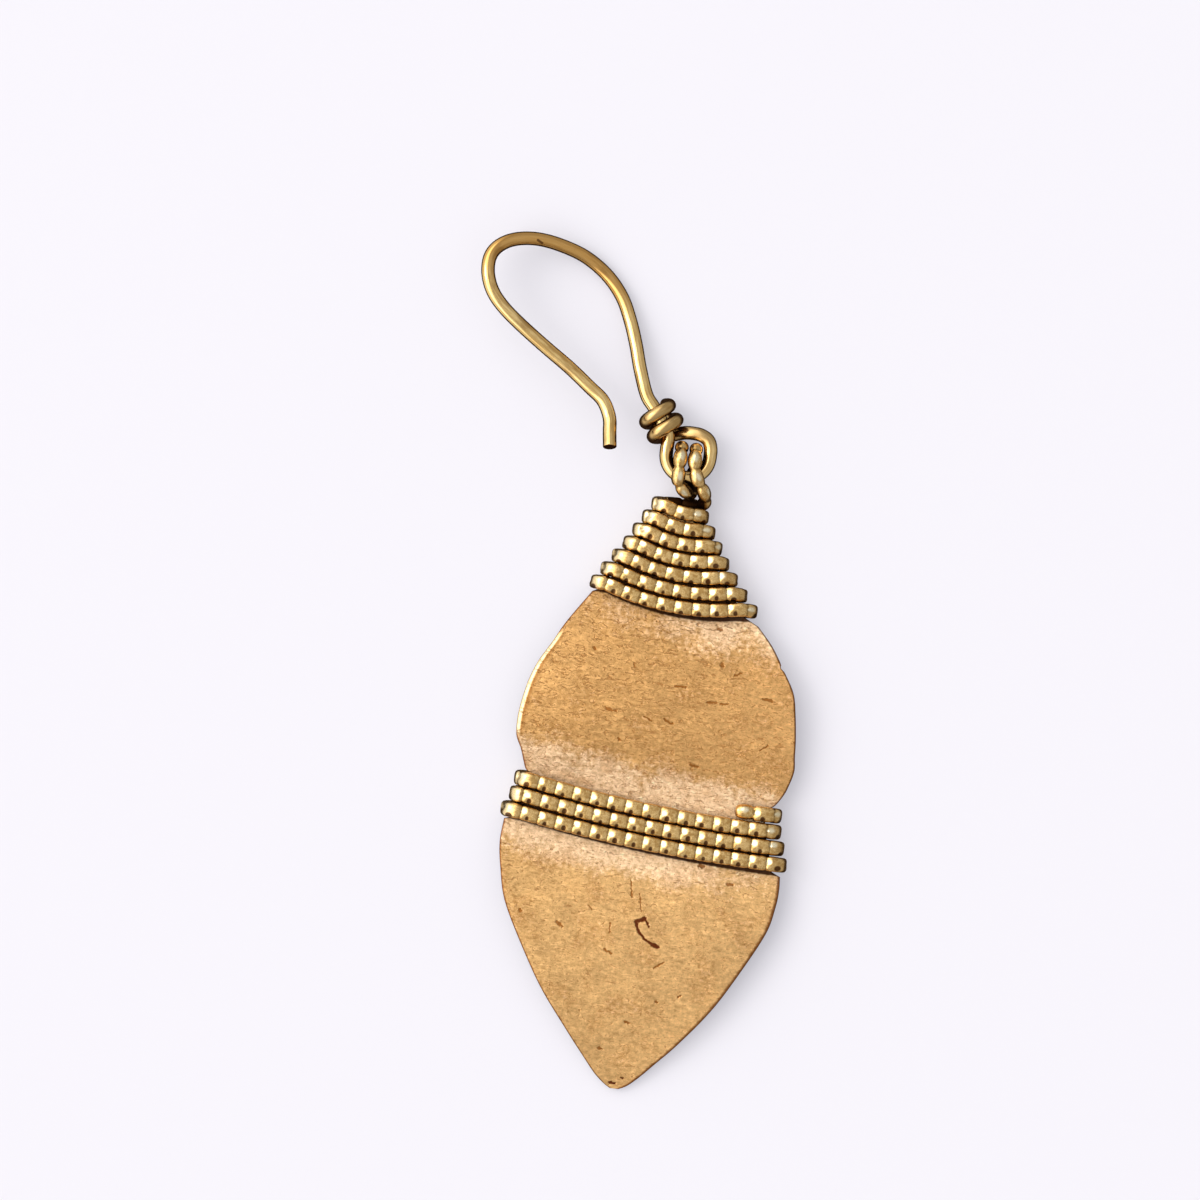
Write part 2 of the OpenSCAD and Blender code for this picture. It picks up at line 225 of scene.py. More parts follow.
leaf = mesh_of("leaf_sheet", at_home(sheet), {
    "painted_sheen": both_sides(painted_sheen),
    "below_neck": np.hstack([below_neck, 0 * u - 9]),
    "below_waist": np.hstack([below_waist, 0 * u - 9]),
    "rim": both_sides(from_rim / (1 + 0.9 * (u > 0) * step_up(24, 27, down))),
    "bevel": np.hstack([along_bevel * step_up(bevel_w + 0.02, bevel_w - 0.04, offset), 0 * u]),
    "bevel_shadow": np.hstack([along_bevel * step_up(0.1, 0.04, np.abs(offset - bevel_w - 0.05)), 0 * u]),
    "face": np.hstack([np.ones_like(u), np.zeros_like(u)]),
    "across": both_sides(x),
    "down": both_sides(down)})


def add(tree, kind, inputs=None, **settings):
    """One shader node with its settings, and a value or a link for each input that is named."""
    node = tree.nodes.new(kind)
    for key, value in settings.items():
        setattr(node, key, value)
    for key, value in (inputs or {}).items():
        if isinstance(value, bpy.types.NodeSocket):
            tree.links.new(value, node.inputs[key])
        else:
            node.inputs[key].default_value = value
    return node


def maths(tree, operation, a, b=0.0, c=0.0):
    """The result of one sum on numbers."""
    return add(tree, "ShaderNodeMath", {0: a, 1: b, 2: c}, operation=operation).outputs[0]


def times(tree, a, b):
    """One number times another."""
    return maths(tree, "MULTIPLY", a, b)


def on_top(tree, value, by, base):
    """The base, and on top of it the value times another number."""
    return maths(tree, "MULTIPLY_ADD", value, by, base)


def most_of(tree, a, b):
    """The larger of two masks."""
    return maths(tree, "MAXIMUM", a, b)


def swing(tree, noise):
    """How far a noise swings to either side of its middle, a half."""
    return maths(tree, "SUBTRACT", noise, 0.5)


def vector_sum(tree, operation, a, b=(0, 0, 0)):
    """The result of one sum on vectors."""
    return add(tree, "ShaderNodeVectorMath", {0: a, 1: b}, operation=operation).outputs


def noise_at(tree, place, scale, detail, roughness=0.5, distortion=0.0):
    """A cloudy noise of 0 to 1 over a place."""
    return add(tree, "ShaderNodeTexNoise", {
        "Vector": place, "Scale": scale, "Detail": detail, "Roughness": roughness,
        "Distortion": distortion}).outputs


def blended(tree, factor, a, b):
    """Colour a where the factor is 0, colour b where it is 1."""
    return add(tree, "ShaderNodeMix", {0: factor, 6: a, 7: b}, data_type="RGBA").outputs[2]


def painted(tree, colour, mask, strength, paint):
    """The colour with a paint over it where the mask is 1, as strong as given."""
    return blended(tree, times(tree, mask, strength), colour, paint)


def ramped(tree, value, low, high):
    """0 where the value is at low, 1 where it is at high, and a smooth step between."""
    return add(tree, "ShaderNodeMapRange", {"Value": value, "From Min": low, "From Max": high},
               interpolation_type="SMOOTHSTEP").outputs[0]


def read(tree, label):
    """An attribute of the piece's own mesh."""
    return add(tree, "ShaderNodeAttribute", attribute_name=label).outputs


def carried(tree, label):
    """A number that the piece's own mesh carries at each of its points."""
    return read(tree, label)["Fac"]


def bare_metal(tree, colour, rough, relief, strength, depth):
    """The finish of bare brass: its colour, its roughness, and a relief of a depth in millimetres."""
    shader = tree.nodes["Principled BSDF"]
    shader.inputs["Metallic"].default_value = 1.0
    bump = add(tree, "ShaderNodeBump", {"Strength": strength, "Distance": depth * MM, "Height": relief})
    for socket, value in (("Base Color", colour), ("Roughness", rough), ("Normal", bump.outputs[0])):
        tree.links.new(value, shader.inputs[socket])


def srgb(r, g, b):
    """A screen colour of 0 to 255 as the linear colour that a shader takes."""
    c = np.array([r, g, b]) / 255
    linear = np.where(c <= 0.04045, c / 12.92, ((c + 0.055) / 1.055) ** 2.4)
    return (*linear.tolist(), 1.0)


def new_group(name, inputs, outputs):
    """A node group with named inputs and outputs, each with its kind of socket and its value."""
    group = bpy.data.node_groups.new(name, "ShaderNodeTree")
    for label, kind, value in inputs:
        socket = group.interface.new_socket(label, in_out="INPUT", socket_type="NodeSocket" + kind)
        socket.default_value = value
    for label, kind in outputs:
        group.interface.new_socket(label, in_out="OUTPUT", socket_type="NodeSocket" + kind)
    return group, group.nodes.new("NodeGroupInput").outputs, group.nodes.new("NodeGroupOutput").inputs


def placed(tree, group, inputs):
    """A group's node in a material, with its own values."""
    node = tree.nodes.new("ShaderNodeGroup")
    node.node_tree = group
    for key, value in inputs.items():
        if isinstance(value, bpy.types.NodeSocket):
            tree.links.new(value, node.inputs[key])
        else:
            node.inputs[key].default_value = value
    return node.outputs


# Grain: what rubbing leaves on soft brass, a fine mottle with hairs drawn out along one way
grain_group, g_in, g_out = new_group(
    "rubbed grain",
    [("Place", "Vector", (0, 0, 0)), ("Stretch", "Vector", (1, 1, 1)), ("Fineness", "Float", 1.0)],
    [("Mottle", "Float"), ("Hairs", "Float"), ("Height", "Float")])
grain_detail, mottle_roughness, hair_roughness = 6.0, 0.8, 0.78
mottle = noise_at(grain_group, g_in["Place"], g_in["Fineness"], grain_detail, mottle_roughness)[0]
drawn = vector_sum(grain_group, "MULTIPLY", g_in["Place"], g_in["Stretch"])[0]
hairs = noise_at(grain_group, drawn, g_in["Fineness"], grain_detail, hair_roughness)[0]
height = maths(grain_group, "ADD", times(grain_group, mottle, 0.5), times(grain_group, hairs, 0.5))
for label, value in (("Mottle", mottle), ("Hairs", hairs), ("Height", height)):
    grain_group.links.new(value, g_out[label])

# A scratch or a pit: a short straight stroke from one point to another, with a ragged edge
stroke_group, s_in, s_out = new_group(
    "stroke",
    [("Place", "Vector", (0, 0, 0)), ("From", "Vector", (0, 0, 0)), ("To", "Vector", (0, 0, 0)),
     ("Half Width", "Float", 0.1)],
    [("Mask", "Float")])
along = vector_sum(stroke_group, "SUBTRACT", s_in["To"], s_in["From"])[0]
gone = vector_sum(stroke_group, "SUBTRACT", s_in["Place"], s_in["From"])[0]
way = maths(stroke_group, "DIVIDE", vector_sum(stroke_group, "DOT_PRODUCT", gone, along)["Value"],
            vector_sum(stroke_group, "DOT_PRODUCT", along, along)["Value"])
way = add(stroke_group, "ShaderNodeClamp", {"Value": way}).outputs[0]
foot = add(stroke_group, "ShaderNodeVectorMath", {0: along, "Scale": way}, operation="SCALE").outputs[0]
gap = vector_sum(stroke_group, "LENGTH", vector_sum(stroke_group, "SUBTRACT", gone, foot)[0])["Value"]
share_of_width = maths(stroke_group, "DIVIDE", gap, s_in["Half Width"])
fades_out, is_full = 1.25, 0.6
stroke_group.links.new(ramped(stroke_group, share_of_width, fades_out, is_full), s_out["Mask"])

# One pixel of the picture in millimetres, the pixel at its middle and the pixel at the top of the
# neck, the cosine and sine of the leaf's lean in it, and the camera's height
PIXEL = 0.075
PICTURE_MIDDLE = (600, 600)
NECK_TOP = (685, 512)
LEAN_COS, LEAN_SIN = 0.992, 0.126
camera_height = 300


def from_pixel(px, py, height=0.0):
    """Where a pixel of the picture lies across and down the leaf, at a height over the table: it is
    drawn in to the middle by the height's share of the camera's, then measured from the neck's top,
    turned by the lean and scaled."""
    nearer = 1 - height / camera_height
    dx = PICTURE_MIDDLE[0] + (px - PICTURE_MIDDLE[0]) * nearer - NECK_TOP[0]
    dy = PICTURE_MIDDLE[1] + (py - PICTURE_MIDDLE[1]) * nearer - NECK_TOP[1]
    return PIXEL * (LEAN_COS * dx + LEAN_SIN * dy), PIXEL * (LEAN_COS * dy - LEAN_SIN * dx)


# The marks on the face as strokes from pixel to pixel, each with its half-width in millimetres:
# the hooked scratch of the lower lobe with its barb, the chips at the tip, then pits and dashes
scratch = [((636, 921), (645, 918.5), 0.16), ((645, 919), (649, 927), 0.08),
           ((636, 922), (638.5, 931), 0.13), ((638.5, 931), (644.5, 938.7), 0.11),
           ((644.5, 938.7), (652, 944.2), 0.11), ((652, 944.2), (658, 946.8), 0.15)]
chips = [((610, 1084.5), (615, 1085.5), 0.11), ((621, 1079.5), (623, 1080.5), 0.08)]
dashes = [((722, 664), (722, 666), 0.16), ((675, 686), (686, 687), 0.08), ((708, 702), (716, 703), 0.1),
          ((720, 704), (728, 704), 0.08), ((606, 708), (616, 711), 0.1), ((644, 716), (652, 721), 0.07),
          ((664, 719), (672, 724), 0.1), ((734, 676), (742, 673), 0.08), ((634, 663), (635, 667), 0.07),
          ((763, 699), (772, 701), 0.1), ((619, 739), (620, 740), 0.12), ((690, 765), (698, 767), 0.12),
          ((760, 750), (768, 746), 0.07), ((594, 647), (595, 649), 0.12), ((718, 629), (722, 630), 0.1),
          ((562, 926), (557, 922), 0.14), ((604, 949), (611, 953), 0.1), ((520, 909), (521, 911), 0.11),
          ((654, 968), (664, 962), 0.07), ((631, 880), (632, 897), 0.05), ((640, 893), (641, 912), 0.045),
          ((610, 922), (610, 932), 0.05), ((700, 866), (704, 867), 0.14), ((728, 884), (732, 885), 0.13),
          ((680, 996), (678, 998), 0.1), ((656, 1002), (657, 1003), 0.12), ((598, 1049), (602, 1050), 0.1),
          ((625, 1022), (630, 1024), 0.08), ((588, 905), (592, 909), 0.06), ((544, 645), (548, 643), 0.06)]

face_height = bound_z + sheet_t / 2 + lobe_rise / 2
sheet_brass = bpy.data.materials.new("sheet_brass")
sheet_brass.use_nodes = True
tree = sheet_brass.node_tree
across_leaf, down_leaf = carried(tree, "across"), carried(tree, "down")
flat = add(tree, "ShaderNodeCombineXYZ", {"X": across_leaf, "Y": down_leaf}).outputs[0]
grain = placed(tree, grain_group, {"Place": flat, "Stretch": (0.45, 1.25, 1.0), "Fineness": 2.6})
uneven = swing(tree, grain["Mottle"])
cloud = noise_at(tree, flat, 0.42, 4.0, 0.6)[0]
# The tone is mottle and hairs, with a painted sheen that makes it lighter to the right and at both sides of
# the upper lobe
mottle_part, hair_part, right_sheen, side_sheen, lower_sheen_drop = 0.45, 0.55, 0.045, 0.033, -0.045
tone = maths(tree, "ADD", times(tree, grain["Mottle"], mottle_part), times(tree, grain["Hairs"], hair_part))
tone = on_top(tree, ramped(tree, across_leaf, -10, 10), right_sheen, tone)
aside = ramped(tree, maths(tree, "ABSOLUTE", across_leaf), 2, 9)
sheen_lift = on_top(tree, ramped(tree, down_leaf, 14, 21), lower_sheen_drop, side_sheen)
tone = on_top(tree, aside, sheen_lift, tone)
upper_brass, lower_brass = srgb(202, 155, 97), srgb(214, 170, 112)
painted_sheen_brass, cloud_brass = srgb(244, 208, 167), srgb(192, 140, 78)
darkest, lightest = (0.29, 0.22, 0.09, 1), (1.71, 1.78, 1.91, 1)
ragged = on_top(tree, uneven, 2.4, on_top(tree, swing(tree, cloud), 2.0, carried(tree, "painted_sheen")))
colour = blended(tree, ramped(tree, down_leaf, 20, 28), upper_brass, lower_brass)
# Painted sheen near the windings
colour = painted(tree, colour, ramped(tree, ragged, 0.15, 1.0), 0.9, painted_sheen_brass)
colour = painted(tree, colour, ramped(tree, cloud, 0.46, 0.68), 0.4, cloud_brass)
tone_share = add(tree, "ShaderNodeMapRange", {"Value": tone, "From Min": 0.3, "From Max": 0.7}).outputs[0]
colour = vector_sum(tree, "MULTIPLY", colour, blended(tree, tone_share, darkest, lightest))[0]
# Fine wriggling lines and creases, where one noise passes its middle and another is high
vein = noise_at(tree, flat, 1.3, 4.0, distortion=0.5)[0]
vein = ramped(tree, maths(tree, "ABSOLUTE", swing(tree, vein)), 0.014, 0.004)
vein = times(tree, times(tree, vein, ramped(tree, cloud, 0.44, 0.56)), 0.45)
crease = vector_sum(tree, "MULTIPLY", flat, (0.55, 1.5, 1.0))[0]
crease = noise_at(tree, crease, 1.9, 3.0, distortion=0.9)[0]
crease = ramped(tree, maths(tree, "ABSOLUTE", swing(tree, crease)), 0.045, 0.012)
kept = on_top(tree, ramped(tree, down_leaf, 20, 26), -0.035, grain["Hairs"])
crease = times(tree, crease, ramped(tree, kept, 0.485, 0.56))
vein = most_of(tree, vein, times(tree, crease, 0.62))
# Pits where a fine noise peaks, and the marks above, each the darkest of its strokes
peaks = noise_at(tree, vector_sum(tree, "MULTIPLY", flat, (0.7, 1.3, 1.0))[0], 2.1, 3.0, 0.6)[0]
pits = times(tree, ramped(tree, peaks, 0.67, 0.75), 0.55)
shaken = vector_sum(tree, "SUBTRACT", noise_at(tree, flat, 5.0, 2.0)["Color"], (0.5, 0.5, 0.5))[0]
shaken = vector_sum(tree, "MULTIPLY", shaken, (0.3, 0.3, 0))[0]
shaken = vector_sum(tree, "ADD", flat, shaken)[0]
marks = {"deep": 0.0, "light": 0.0}
for depth, strokes in (("deep", scratch + chips), ("light", dashes)):
    for start, end, half_width in strokes:
        stroke = placed(tree, stroke_group, {
            "Place": shaken, "From": (*from_pixel(*start, face_height), 0),
            "To": (*from_pixel(*end, face_height), 0), "Half Width": half_width})
        marks[depth] = most_of(tree, marks[depth], stroke["Mask"])
on_face = carried(tree, "face")
light_marks = times(tree, times(tree, marks["light"], on_face), 0.88)
deep_marks = times(tree, times(tree, marks["deep"], on_face), 0.95)
dash_brown, scratch_brown = srgb(142, 86, 34), srgb(90, 30, 8)
colour = blended(tree, most_of(tree, most_of(tree, pits, vein), light_marks), colour, dash_brown)
colour = blended(tree, deep_marks, colour, scratch_brown)
# The bevel has a painted highlight with a thin painted shadow line inside it, and the rest of the rim has
# painted brown shade
painted_bevel_highlight, painted_bevel_shadow, rim_shade_brown = srgb(250, 226, 180), srgb(160, 100, 40), srgb(116, 60, 18)
on_bevel = carried(tree, "bevel")
colour = painted(tree, colour, on_bevel, 0.8, painted_bevel_highlight)
colour = painted(tree, colour, carried(tree, "bevel_shadow"), 0.6, painted_bevel_shadow)
# Painted shade along the rim, reaching further in on the right of the lower lobe
rim_shade = ramped(tree, on_top(tree, uneven, 0.16, carried(tree, "rim")), 0.18, 0.07)
rim_shade = times(tree, rim_shade, maths(tree, "SUBTRACT", 0.85, on_bevel))
colour = blended(tree, add(tree, "ShaderNodeClamp", {"Value": rim_shade}).outputs[0], colour, rim_shade_brown)
# Painted shadow under each binding, which shows between its rows and as a dark line below its last row
painted_row_shadow = srgb(48, 16, 5)
row_shadow = 0.0
for label, top in (("below_neck", -6.9), ("below_waist", -3.1)):
    off_row = on_top(tree, uneven, 0.15, carried(tree, label))
    line = times(tree, ramped(tree, off_row, 0.34, 0.2), ramped(tree, off_row, top, top + 0.3))
    row_shadow = most_of(tree, row_shadow, line)
colour = painted(tree, colour, row_shadow, 0.95, painted_row_shadow)
hollow = most_of(tree, most_of(tree, light_marks, deep_marks), most_of(tree, pits, crease))
relief = maths(tree, "SUBTRACT", grain["Height"], hollow)
bare_metal(tree, colour, on_top(tree, tone, 0.2, 0.34), relief, 0.5, 0.1)
leaf.data.materials.append(sheet_brass)
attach(leaf, "root")
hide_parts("leaf")

# The neck winding. It is one strand of beaded brass wire, rolled in a die. It makes two loops side
# by side, on which the hook hangs, then goes seven times round the neck and is cut off at the back.
groove_d = 0.9
bead_l = 1.34
wrap_lift = sheet_t / 2 + wire_gap + bead_d / 2
wrap_reach = 0.76
wrap_side = wrap_reach + bead_d / 2
neck_cut_x = 0.5
bail_y, bail_ry, bail_z, bail_rz = 3.01, 1.71, 1.65, 1.12
bail_left_x, bail_right_x = -0.87, 0.21
bail_start, bail_end = -126, 440
bail_cross = (110, 190)
bail_leg = np.array([
    [0.52, 2.5, 2.72],
    [1.05, 1.78, 2.42],
    [1.34, 1.18, 1.84],
    [1.34, 0.82, 1.19],
    [0.97, 0.61, 0.71],
    [0.3, 0.54, 0.53]])


def edge_turn(side, down, from_face, slip):
    """Half an oval round an edge: out by the reach times the sine, up or down by the lift times the
    cosine, and down the leaf by slip times half of one plus the cosine."""
    turn_step = 7.5
    a = np.radians(np.arange(0, 181, turn_step))
    at = down - side * slip * (1 + from_face * np.cos(a)) / 2
    return np.stack([side * (half_at(side, at) + wrap_reach * np.sin(a)), -at,
                     bound_z + from_face * wrap_lift * np.cos(a)], -1)


def wire_row(x0, down0, x1, down1, from_face, bow):
    """A line from edge to edge that bows towards the tip by four times the bow, the share and the
    rest of it."""
    row_from, row_points = 0.06, 45
    f = np.linspace(row_from, 1 - row_from, row_points)
    return np.stack([x0 + (x1 - x0) * f, -(down0 + (down1 - down0) * f + bow * 4 * f * (1 - f)),
                     np.full_like(f, bound_z + from_face * wrap_lift)], -1)


def face_row(down0, down1, bow):
    """A row on the face with a turn round each edge; its slant runs on into the turns."""
    w0, w1 = half_at(-1, down0), half_at(1, down1)
    slip = (down1 - down0) * wrap_side / (w0 + w1 + 2 * wrap_side)
    row = wire_row(-half_at(-1, down0 + slip), down0 + slip,
                   half_at(1, down1 - slip), down1 - slip, 1, bow)
    return np.vstack([edge_turn(-1, down0, -1, slip), row, edge_turn(1, down1, 1, slip)])


def back_row(down0, down1, bow):
    """A row on the back, from the right edge to the left."""
    return wire_row(half_at(1, down0), down0, -half_at(-1, down1), down1, -1, bow)


def off_sheet(p):
    """The way from the nearest point inside the sheet to each point of a wire wound round it."""
    down = -p[:, 1]
    x = np.clip(p[:, 0], -half_at(-1, down), half_at(1, down))
    return np.stack([p[:, 0] - x, 0 * x, p[:, 2] - bound_z], -1)


def drawn_out(p, away, step):
    """Points at even steps along a line, each the mean of its neighbours over half a millimetre to
    take the corners off, with the way off what the wire lies on at each."""
    run = np.concatenate([[0], np.cumsum(np.linalg.norm(np.diff(p, axis=0), axis=1))])
    n = int(round(run[-1] / step))
    s = np.linspace(0, run[-1], n + 1)
    both = np.stack([np.interp(s, run, column) for column in np.hstack([p, away]).T], -1)
    soften = 0.25
    reach = max(1, int(round(soften / step)))
    ends = np.vstack([2 * both[:1] - both[reach:0:-1], both, 2 * both[-1:] - both[-2:-reach - 2:-1]])
    total = np.cumsum(np.vstack([0 * ends[:1], ends]), axis=0)
    soft = (total[2 * reach + 1:] - total[:-2 * reach - 1]) / (2 * reach + 1)
    return soft[:, :3], soft[:, 3:]


def skin_of(p, away, radii, sides):
    """Rings round a line: at each point the radius times the cosine along the way off what the wire
    lies on, made square to the line, and the sine along the third way. It gives the rings with the
    angle of each point, and its place on the wire pulled straight."""
    t = np.gradient(p, axis=0)
    t /= np.linalg.norm(t, axis=1, keepdims=True)
    out = away - t * (away * t).sum(1, keepdims=True)
    out /= np.linalg.norm(out, axis=1, keepdims=True)
    third = np.cross(out, t)
    a = np.broadcast_to(np.arange(sides) * 2 * math.pi / sides, (len(p), sides))
    radii = np.broadcast_to(radii, a.shape)[..., None]
    round_line = np.cos(a)[..., None] * out[:, None] + np.sin(a)[..., None] * third[:, None]
    rings = p[:, None] + radii * round_line
    run = np.concatenate([[0], np.cumsum(np.linalg.norm(np.diff(p, axis=0), axis=1))])
    straight = np.stack([np.broadcast_to(run[:, None], a.shape), radii[..., 0] * np.cos(a),
                         radii[..., 0] * np.sin(a)], -1)
    return rings, a, straight


def cut_ends(p, away, radii, sizes):
    """The line run on past both ends by a little, ring by ring, to the given shares of its radius,
    so that the ends close as cut wire does: a broken corner and a flat face. No two rings have the
    same place, because the line's direction comes from each ring's neighbours."""
    first, last = p[0] - p[1], p[-1] - p[-2]
    first, last = first / np.linalg.norm(first), last / np.linalg.norm(last)
    size = np.array(sizes)
    before = p[0] + first * size[:, :1]
    after = p[-1] + last * size[:, :1]
    p = np.vstack([before[::-1], p, after])
    away = np.vstack([np.repeat(away[:1], len(size), 0), away, np.repeat(away[-1:], len(size), 0)])
    radii = np.vstack([radii[:1] * size[::-1, 1:], radii, radii[-1:] * size[:, 1:]])
    return p, away, radii


def beaded_wire(name, line, away, seed, wide, plain_l=0.0):
    """The radius goes from the groove to the bead by one less the power of the distance from the
    bead's middle, over the root of the cosine to a power and the sine over the width to the same
    power, which flattens the top and the sides. Each bead's first end is struck down by its slope
    times the way past a point, which fades round the wire. Beside it, lower down, is a nick, dented
    and darkened with painted shade. Up to plain_l, in the loops, the beads are round balls."""
    rings_a_bead, sides = 16, 28
    beads = len(drawn_out(line, away, bead_l / 2)[0]) // 2
    length = np.linalg.norm(np.diff(line, axis=0), axis=1).sum()
    p, away = drawn_out(line, away, length / (beads * rings_a_bead))
    at = np.arange(len(p)) / rings_a_bead
    bead = np.minimum(at.astype(int), beads - 1)
    draw = np.random.default_rng(seed)

    def each(values):
        """A value for each bead, over all of its rings."""
        return values[bead][:, None]

    size = each(1 + 0.012 * draw.standard_normal(beads))
    facet_slope = each(draw.uniform(0.34, 0.5, beads))
    facet_turn = each(draw.uniform(0.1, 0.45, beads))
    facet_to = each(draw.uniform(-0.4, -0.15, beads))
    nick_turn = each(draw.uniform(-0.85, -0.5, beads))
    nick_at = each(draw.uniform(-0.25, 0.08, beads))
    wound = (bead * bead_l > plain_l)[:, None]
    nick_size = each(draw.uniform(0.6, 1, beads)) * wound
    power, squareness = np.where(wound, 5, 2.4), np.where(wound, 4, 2)
    waist_d = np.where(wound, groove_d, 0.7)
    off_middle = (2 * (at - bead) - 1)[:, None]
    crown = 1 - np.abs(off_middle) ** power
    a = np.arange(sides) * 2 * math.pi / sides
    a = (a + math.pi) % (2 * math.pi) - math.pi
    nick_l, nick_depth, fade = 0.3, 0.07, 0.42
    nick = np.exp(-((off_middle - nick_at) / nick_l) ** 2) * np.exp(-((a - nick_turn) / fade) ** 2)
    nick = nick_size * nick
    past = np.maximum(0, facet_to - off_middle) * wound
    struck = facet_slope * past * np.exp(-((a - facet_turn) / fade) ** 2)
    flattened = np.abs(np.cos(a)) ** squareness + np.abs(np.sin(a) / wide) ** squareness
    flattened = flattened ** (-1 / squareness)
    radii = (waist_d + (bead_d - waist_d) * crown) / 2 * size * flattened
    radii = radii - struck * bead_l / 2 - nick_depth * nick
    bright_at, bright_l = np.where(wound, facet_to - 0.42, -0.1), np.where(wound, 0.36, 0.5)
    from_bright = np.hypot((off_middle - bright_at) / bright_l, (a - facet_turn) / fade)
    painted_highlight = step_up(1.15, 0.6, from_bright)
    out_x = away[:, :1] / np.linalg.norm(away, axis=1, keepdims=True)
    left_turn = np.broadcast_to(step_up(0.2, 0.65, -out_x), nick.shape)
    cut = [(0.06, 0.82), (0.08, 0.5), (0.085, 0.03)]
    p, away, radii = cut_ends(p, away, radii, cut)
    rings, turned, straight = skin_of(p, away, radii, sides)
    end_rings = ((len(cut), len(cut)), (0, 0))
    piece = mesh_of(name, at_home(rings), {
        "crown": np.pad(np.broadcast_to(crown, nick.shape), end_rings),
        "nick": np.pad(nick, end_rings),
        "painted_highlight": np.pad(painted_highlight, end_rings),
        "turn": np.pad(left_turn, end_rings, "edge"),
        "hidden": (1 - np.cos(turned)) / 2 * (1 - 0.4 * np.maximum(0, np.sin(turned))),
        "straight": straight})
    piece.data.materials.append(beaded_brass)
    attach(piece, "root")
    return piece


beaded_brass = bpy.data.materials.new("beaded_brass")
beaded_brass.use_nodes = True
tree = beaded_brass.node_tree
place = read(tree, "straight")["Vector"]
grain = placed(tree, grain_group, {"Place": place, "Stretch": (0.6, 1.0, 1.0), "Fineness": 3.0})
uneven = times(tree, swing(tree, grain["Mottle"]), 0.4)
worn_brass, bright_brass = srgb(190, 147, 82), srgb(240, 204, 140)
painted_turn_highlight, painted_highlight_brass = srgb(250, 232, 188), srgb(252, 240, 204)
olive, gap_shade_brown = srgb(120, 88, 28), srgb(124, 80, 26)
nick_shade_brown, gap_shade_black = srgb(72, 32, 10), srgb(34, 12, 4)
turn = carried(tree, "turn")
colour = blended(tree, ramped(tree, grain["Mottle"], 0.36, 0.64), worn_brass, bright_brass)
# Painted highlights: on the turns round the left edge, on each bead's struck end, and near the top of each
# ball in the loops
colour = painted(tree, colour, turn, 0.55, painted_turn_highlight)
colour = painted(tree, colour, carried(tree, "painted_highlight"), 0.9, painted_highlight_brass)
groove = ramped(tree, maths(tree, "ADD", uneven, carried(tree, "crown")), 0.5, 0.0)
colour = painted(tree, colour, groove, 0.6, olive)
# Painted shade fills the hollow between two rows, first brown and then black, less on the upper side and at
# the turns
deep = on_top(tree, swing(tree, grain["Hairs"]), 0.12, carried(tree, "hidden"))
deep = times(tree, deep, on_top(tree, turn, -0.8, 1.0))
colour = painted(tree, colour, ramped(tree, deep, 0.24, 0.36), 0.6, gap_shade_brown)
# Painted shade darkens the nick
nick_shade = ramped(tree, maths(tree, "ADD", uneven, carried(tree, "nick")), 0.25, 0.5)
colour = painted(tree, colour, nick_shade, 0.92, nick_shade_brown)
black = ramped(tree, deep, 0.38, 0.5)
colour = painted(tree, colour, black, 0.97, gap_shade_black)
rough = on_top(tree, black, 0.3, on_top(tree, grain["Mottle"], 0.24, 0.14))
bare_metal(tree, colour, rough, grain["Height"], 0.3, 0.03)

bail_step = 4
a = np.arange(bail_start, bail_end + 1, bail_step)
cross = step_up(*bail_cross, a)
a = np.radians(a)
bail_x = bail_left_x + (bail_right_x - bail_left_x) * cross
bail = np.stack([bail_x, bail_y + bail_ry * np.cos(a), bail_z + bail_rz * np.sin(a)], -1)
bail_away = np.stack([0 * a, bail_rz * np.cos(a), bail_ry * np.sin(a)], -1)
leg = curve_through(bail_leg, 6)
# The leg passes the top of the neck, which is this wide
top_left, top_right = -0.45, 0.3
off_top = leg[:, 0] - np.clip(leg[:, 0], top_left, top_right)
leg_away = np.stack([off_top, 0 * leg[:, 0], leg[:, 2] - bound_z], -1)
wound = []
for i in range(neck_rows):
    down0, down1 = neck_left + i * neck_pitch, neck_right + i * neck_pitch
    bow = neck_bow * (half_at(-1, down0) + half_at(1, down1))
    wound.append(face_row(down0, down1, bow))
    wound.append(back_row(down1, down0 + neck_pitch, bow))
wound[-1] = wound[-1][wound[-1][:, 0] > neck_cut_x]
wound = np.vstack(wound)
neck_line = np.vstack([bail, leg, wound])
neck_away = np.vstack([bail_away, leg_away, off_sheet(wound)])
bail_l = np.linalg.norm(np.diff(np.vstack([bail, leg]), axis=0), axis=1).sum()
neck_seed, neck_wide = 11, 1.02
neck = beaded_wire("neck_wire", neck_line, neck_away, neck_seed, neck_wide, bail_l)
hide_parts("neck_winding")

# The waist winding. It is a second strand of the same wire, wound a little more than three times
# round the waist. Its first end is cut off on the face at the right, the other at the back.
waist_cut_x, waist_back_cut_x = 6.4, 4
stub = face_row(waist_left - waist_pitch, waist_right - waist_pitch, waist_bow)
wound = [stub[stub[:, 0] > waist_cut_x]]
for i in range(waist_rows):
    down0, down1 = waist_left + i * waist_pitch, waist_right + i * waist_pitch
    wound.append(back_row(down1 - waist_pitch, down0, waist_bow))
    if i < waist_rows - 1:
        wound.append(face_row(down0, down1, waist_bow))
wound[-1] = wound[-1][wound[-1][:, 0] > waist_back_cut_x]
waist_line = np.vstack(wound)
waist_seed, waist_wide = 23, 1.1
waist = beaded_wire("waist_wire", waist_line, off_sheet(waist_line), waist_seed, waist_wide)
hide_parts("waist_winding")
